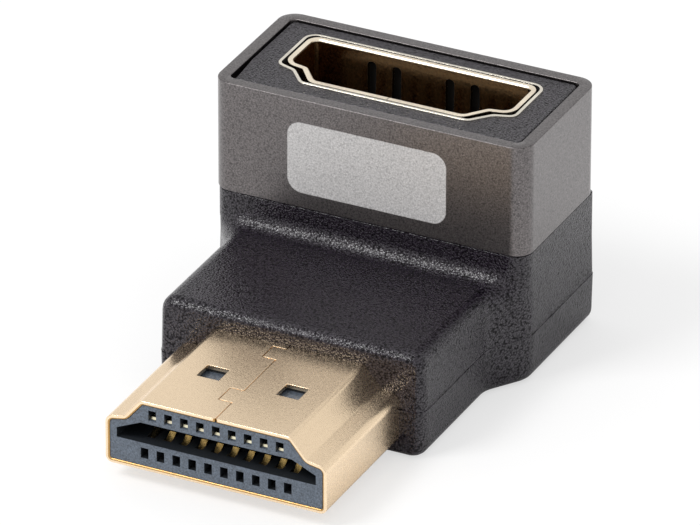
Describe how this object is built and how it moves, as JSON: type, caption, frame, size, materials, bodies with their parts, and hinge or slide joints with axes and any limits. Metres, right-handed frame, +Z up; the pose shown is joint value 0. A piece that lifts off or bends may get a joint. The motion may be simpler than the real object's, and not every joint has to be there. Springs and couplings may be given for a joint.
{
  "type": "right-angle hdmi adapter",
  "caption": "Right-angle video adapter with a flat gold-plated plug at the front, an upward socket in an aluminium sleeve, and a black grained moulded body.",
  "frame": {"origin": "where the socket's axis meets the flat underside of the body", "axes": "+Z up out of the socket, -Y out along the plug, +X to the right as seen from the plug's side"},
  "size_m": [0.02, 0.0292, 0.0155],
  "materials": {
    "sleeve": "fine bead-blasted, dark anodised",
    "body": "moulded with a fine leather grain",
    "gold_plate": "satin gold plating",
    "contacts": "bright gold plating",
    "shield": "satin, pale nickel",
    "insulator": "matte slate",
    "board": "lacquered circuit board",
    "premould": "matte, natural plastic"
  },
  "bodies": {
    "root": {"outer_sleeve": "sleeve", "body_overmould": "body", "plug_shell": "gold_plate", "plug_insulator": "insulator", "socket_shell": "gold_plate", "socket_outer_shield": "shield", "socket_insulator": "insulator", "circuit_board": "board", "inner_mould": "premould", "plug_contact_01": "contacts", "plug_contact_02": "contacts", "plug_contact_03": "contacts", "plug_contact_04": "contacts", "plug_contact_05": "contacts", "plug_contact_06": "contacts", "plug_contact_07": "contacts", "plug_contact_08": "contacts", "plug_contact_09": "contacts", "plug_contact_10": "contacts", "plug_contact_11": "contacts", "plug_contact_12": "contacts", "plug_contact_13": "contacts", "plug_contact_14": "contacts", "plug_contact_15": "contacts", "plug_contact_16": "contacts", "plug_contact_17": "contacts", "plug_contact_18": "contacts", "plug_contact_19": "contacts", "socket_contact_01": "contacts", "socket_contact_02": "contacts", "socket_contact_03": "contacts", "socket_contact_04": "contacts", "socket_contact_05": "contacts", "socket_contact_06": "contacts", "socket_contact_07": "contacts", "socket_contact_08": "contacts", "socket_contact_09": "contacts", "socket_contact_10": "contacts", "socket_contact_11": "contacts", "socket_contact_12": "contacts", "socket_contact_13": "contacts", "socket_contact_14": "contacts", "socket_contact_15": "contacts", "socket_contact_16": "contacts", "socket_contact_17": "contacts", "socket_contact_18": "contacts", "socket_contact_19": "contacts"}
  },
  "joints": []
}
